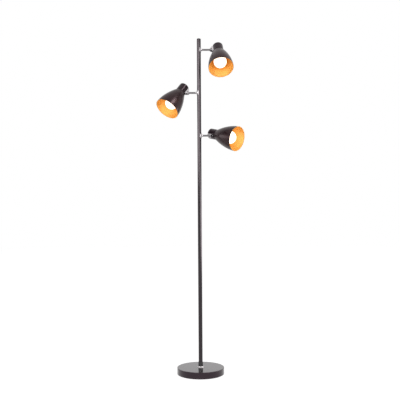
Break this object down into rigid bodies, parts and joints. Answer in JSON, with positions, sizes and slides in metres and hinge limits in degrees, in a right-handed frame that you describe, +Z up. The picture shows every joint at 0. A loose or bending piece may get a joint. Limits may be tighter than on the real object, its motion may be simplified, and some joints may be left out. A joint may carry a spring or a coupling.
{
  "type": "three-spot floor lamp",
  "caption": "Free-standing floor lamp: round weighted base, slim pole and bell-shaped spot heads that swivel and tilt on short side arms.",
  "frame": {"origin": "centre of the floor pad's underside, under the pole's axis", "axes": "+Z up along the pole, -Y to the front where the spots point, +X towards the top and low arms"},
  "size_m": [0.4092, 0.2417, 1.57],
  "materials": {
    "base_enamel": "satin black enamel",
    "weight_iron": "rough cast",
    "pad_felt": "pressed felt",
    "zinc_steel": "zinc plated",
    "black_plastic": "moulded, matt",
    "white_plastic": "moulded, matt",
    "cable_sheath": "smooth sheath",
    "bright_chrome": "polished, dark toned",
    "sleeve_black": "gloss black",
    "black_nickel": "black nickel plate, glossy",
    "neck_black": "satin black lacquer",
    "shade_black": "satin brown-black lacquer outside, gold lacquer inside",
    "opal_globe": "opal, lit",
    "cap_metal": "plated screw cap"
  },
  "bodies": {
    "stand": {"base_cover": "base_enamel", "base_weight": "weight_iron", "base_pad": "pad_felt", "base_nipple": "zinc_steel", "base_nut": "zinc_steel", "base_washer": "zinc_steel", "cord_gland": "black_plastic", "terminal_block": "white_plastic", "foot_collar": "bright_chrome", "foot_sleeve": "sleeve_black", "pole_lower": "black_nickel", "pole_middle": "black_nickel", "pole_upper": "black_nickel", "joint_bushes": "zinc_steel", "joint_studs": "zinc_steel", "pole_cap": "black_nickel", "arm_bosses": "bright_chrome", "feed_cable": "cable_sheath"},
    "arm_body_top": {"arm_top": "bright_chrome", "arm_nut_top": "zinc_steel", "arm_lead_top": "cable_sheath", "pivot_screws_top": "bright_chrome"},
    "head_top": {"bracket_top": "bright_chrome", "rivets_top": "zinc_steel", "neck_top": "neck_black", "neck_lead_top": "cable_sheath", "lamp_holder_top": "black_plastic", "shade_ring_top": "black_plastic", "shade_top": "shade_black", "bulb_globe_top": "opal_globe", "bulb_body_top": "white_plastic", "bulb_cap_top": "cap_metal"},
    "arm_body_mid": {"arm_mid": "bright_chrome", "arm_nut_mid": "zinc_steel", "arm_lead_mid": "cable_sheath", "pivot_screws_mid": "bright_chrome"},
    "head_mid": {"bracket_mid": "bright_chrome", "rivets_mid": "zinc_steel", "neck_mid": "neck_black", "neck_lead_mid": "cable_sheath", "lamp_holder_mid": "black_plastic", "shade_ring_mid": "black_plastic", "shade_mid": "shade_black", "bulb_globe_mid": "opal_globe", "bulb_body_mid": "white_plastic", "bulb_cap_mid": "cap_metal"},
    "arm_body_low": {"arm_low": "bright_chrome", "arm_nut_low": "zinc_steel", "arm_lead_low": "cable_sheath", "pivot_screws_low": "bright_chrome"},
    "head_low": {"bracket_low": "bright_chrome", "rivets_low": "zinc_steel", "neck_low": "neck_black", "neck_lead_low": "cable_sheath", "lamp_holder_low": "black_plastic", "shade_ring_low": "black_plastic", "shade_low": "shade_black", "bulb_globe_low": "opal_globe", "bulb_body_low": "white_plastic", "bulb_cap_low": "cap_metal"}
  },
  "joints": [
    {"name": "swivel_top", "type": "hinge", "parent": "stand", "child": "arm_body_top", "pos_m": [0.0155, 0, 1.517], "axis": [1, 0, 0], "range_deg": [-109.5, 190.5]},
    {"name": "tilt_top", "type": "hinge", "parent": "arm_body_top", "child": "head_top", "pos_m": [0.058, 0, 1.517], "axis": [0, -0.7604, 0.6494], "range_deg": [-9.5, 73.5]},
    {"name": "swivel_mid", "type": "hinge", "parent": "stand", "child": "arm_body_mid", "pos_m": [-0.0155, 0, 1.3155], "axis": [-1, 0, 0], "range_deg": [-183.5, 116.5]},
    {"name": "tilt_mid", "type": "hinge", "parent": "arm_body_mid", "child": "head_mid", "pos_m": [-0.0525, 0, 1.3155], "axis": [0, 0.8339, -0.5519], "range_deg": [-35.5, 47.5]},
    {"name": "swivel_low", "type": "hinge", "parent": "stand", "child": "arm_body_low", "pos_m": [0.0155, 0, 1.115], "axis": [1, 0, 0], "range_deg": [-79.5, 220.5]},
    {"name": "tilt_low", "type": "hinge", "parent": "arm_body_low", "child": "head_low", "pos_m": [0.0515, 0, 1.115], "axis": [0, -0.3338, 0.9426], "range_deg": [-54.5, 28.5]}
  ]
}
